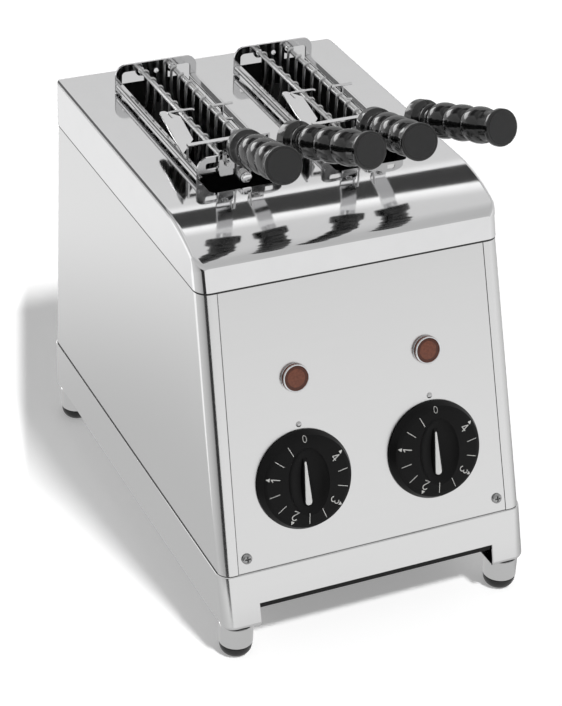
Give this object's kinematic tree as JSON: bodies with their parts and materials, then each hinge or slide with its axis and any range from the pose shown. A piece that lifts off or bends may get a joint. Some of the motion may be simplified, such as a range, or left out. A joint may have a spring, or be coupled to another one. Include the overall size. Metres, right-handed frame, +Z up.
{
  "type": "toaster with sandwich tongs",
  "caption": "Stainless sandwich toaster with a sloping front panel, timer knobs, pilot lamps, and wire-jawed tongs with black turned handles standing in its long slots.",
  "frame": {"origin": "middle of the whole outline, at the height of the table", "axes": "+Z up, -Y towards the front panel, +X to the right of someone facing the front"},
  "size_m": [0.2288, 0.348, 0.3677],
  "materials": {
    "brushed_steel": "brushed satin stainless sheet",
    "polished_steel": "mirror-polished stainless",
    "wire_steel": "bright steel wire and plate",
    "inner_steel": "dull inner sheet",
    "black_plastic": "moulded black plastic",
    "black_handle": "glossy black phenolic",
    "black_rubber": "matt rubber",
    "pale_inlay": "pale grey inlay",
    "amber_lens": "translucent amber lens",
    "dark_enamel": "dark enamel",
    "cream_ceramic": "cream ceramic"
  },
  "bodies": {
    "housing": {"base_plate": "inner_steel", "base_skirt": "brushed_steel", "body_shell": "brushed_steel", "cable_gland": "black_rubber", "foot_front_left": "brushed_steel", "foot_front_right": "brushed_steel", "foot_pad_front_left": "black_rubber", "foot_pad_front_right": "black_rubber", "foot_pad_rear_left": "black_rubber", "foot_pad_rear_right": "black_rubber", "foot_rear_left": "brushed_steel", "foot_rear_right": "brushed_steel", "front_panel": "brushed_steel", "heat_chamber_left": "inner_steel", "heat_chamber_right": "inner_steel", "heater_left_left": "dark_enamel", "heater_left_right": "dark_enamel", "heater_right_left": "dark_enamel", "heater_right_right": "dark_enamel", "hood": "polished_steel", "lamp_bezel_left": "polished_steel", "lamp_bezel_right": "polished_steel", "lamp_lens_left": "amber_lens", "lamp_lens_right": "amber_lens", "panel_screw_left": "polished_steel", "panel_screw_right": "polished_steel", "terminal_block": "cream_ceramic", "timer_left": "inner_steel", "timer_right": "inner_steel"},
    "tong_left": {"rear_bracket_left": "wire_steel", "front_bracket_left": "wire_steel", "rail_left_left": "polished_steel", "rail_right_left": "polished_steel", "strap_blade_left": "polished_steel", "spring_left": "wire_steel", "spring_bolt_left": "polished_steel"},
    "jaw_left_left": {"jaw_left_left": "wire_steel", "shank_left_left": "polished_steel", "handle_left_left": "black_handle"},
    "jaw_right_left": {"jaw_right_left": "wire_steel", "shank_right_left": "polished_steel", "handle_right_left": "black_handle"},
    "knob_left": {"knob_left": "black_plastic", "knob_pointer_left": "pale_inlay"},
    "tong_right": {"rear_bracket_right": "wire_steel", "front_bracket_right": "wire_steel", "rail_left_right": "polished_steel", "rail_right_right": "polished_steel", "strap_blade_right": "polished_steel", "spring_right": "wire_steel", "spring_bolt_right": "polished_steel"},
    "jaw_left_right": {"jaw_left_right": "wire_steel", "shank_left_right": "polished_steel", "handle_left_right": "black_handle"},
    "jaw_right_right": {"jaw_right_right": "wire_steel", "shank_right_right": "polished_steel", "handle_right_right": "black_handle"},
    "knob_right": {"knob_right": "black_plastic", "knob_pointer_right": "pale_inlay"},
    "crumb_tray": {"crumb_tray": "dark_enamel"}
  },
  "joints": [
    {"name": "tong_left_lift", "type": "slide", "parent": "housing", "child": "tong_left", "axis": [0, 0, 1], "range_m": [0, 0.15]},
    {"name": "jaw_left_left_hinge", "type": "hinge", "parent": "tong_left", "child": "jaw_left_left", "pos_m": [-0.0575, 0.05, 0.296], "axis": [0, 1, 0], "range_deg": [0, 6], "stiffness_Nm_per_rad": 0.6, "springref_deg": -10, "deforming": ["spring_left"]},
    {"name": "jaw_right_left_hinge", "type": "hinge", "parent": "tong_left", "child": "jaw_right_left", "pos_m": [-0.0345, 0.05, 0.296], "axis": [0, -1, 0], "range_deg": [0, 6], "stiffness_Nm_per_rad": 0.6, "springref_deg": -10},
    {"name": "knob_left_turn", "type": "hinge", "parent": "housing", "child": "knob_left", "pos_m": [-0.0486, -0.14599, 0.11696], "axis": [0, 0.955, -0.2965], "range_deg": [0, 308]},
    {"name": "tong_right_lift", "type": "slide", "parent": "housing", "child": "tong_right", "axis": [0, 0, 1], "range_m": [0, 0.15]},
    {"name": "jaw_left_right_hinge", "type": "hinge", "parent": "tong_right", "child": "jaw_left_right", "pos_m": [0.0345, 0.05, 0.296], "axis": [0, 1, 0], "range_deg": [0, 6], "stiffness_Nm_per_rad": 0.6, "springref_deg": -10, "deforming": ["spring_right"]},
    {"name": "jaw_right_right_hinge", "type": "hinge", "parent": "tong_right", "child": "jaw_right_right", "pos_m": [0.0575, 0.05, 0.296], "axis": [0, -1, 0], "range_deg": [0, 6], "stiffness_Nm_per_rad": 0.6, "springref_deg": -10},
    {"name": "knob_right_turn", "type": "hinge", "parent": "housing", "child": "knob_right", "pos_m": [0.0486, -0.14599, 0.11696], "axis": [0, 0.955, -0.2965], "range_deg": [0, 308]},
    {"name": "crumb_tray_slide", "type": "slide", "parent": "housing", "child": "crumb_tray", "axis": [0, -1, 0], "range_m": [0, 0.25]}
  ],
  "couplings": [
    {"joint": "jaw_right_left_hinge", "follows": "jaw_left_left_hinge", "ratio": 1},
    {"joint": "jaw_right_right_hinge", "follows": "jaw_left_right_hinge", "ratio": 1}
  ]
}
